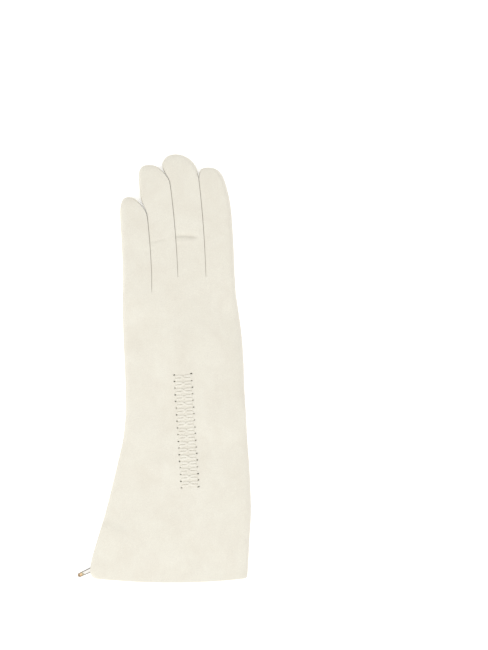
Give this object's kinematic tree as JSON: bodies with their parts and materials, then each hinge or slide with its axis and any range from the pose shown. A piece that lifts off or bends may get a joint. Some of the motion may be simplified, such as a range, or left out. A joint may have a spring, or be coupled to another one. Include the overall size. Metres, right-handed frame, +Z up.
{
  "type": "long suede dress glove",
  "caption": "Long left-hand suede glove with a flared gauntlet cuff, lying flat with its thumb folded under, a stitched back panel and a zip pull at the hem.",
  "frame": {"origin": "on the flat underside of the gauntlet, at the level the glove rests on, between the edges at the hem", "axes": "+X from the little-finger side to the index side, +Y from the hem to the fingertips, +Z up out of the back of the hand"},
  "size_m": [0.1298, 0.3202, 0.013],
  "materials": {
    "suede": "matt cream suede with a fine short nap",
    "zip_tape": "woven cream tape",
    "zip_teeth": "polished brass, slightly worn",
    "zip_metal": "bright nickel plate"
  },
  "bodies": {
    "glove": {"trank": "suede", "fourchette_little_ring": "suede", "fourchette_ring_middle": "suede", "fourchette_middle_index": "suede", "thumb": "suede", "zip_tape": "zip_tape", "zip_chain": "zip_teeth", "zip_slider": "zip_metal"},
    "zip_pull": {"zip_pull": "zip_metal"}
  },
  "joints": [
    {"name": "pull_hinge", "type": "hinge", "parent": "glove", "child": "zip_pull", "pos_m": [-0.05008, 0.012, 0.0019], "axis": [0.4226, -0.9063, 0], "range_deg": [0, 140]}
  ]
}
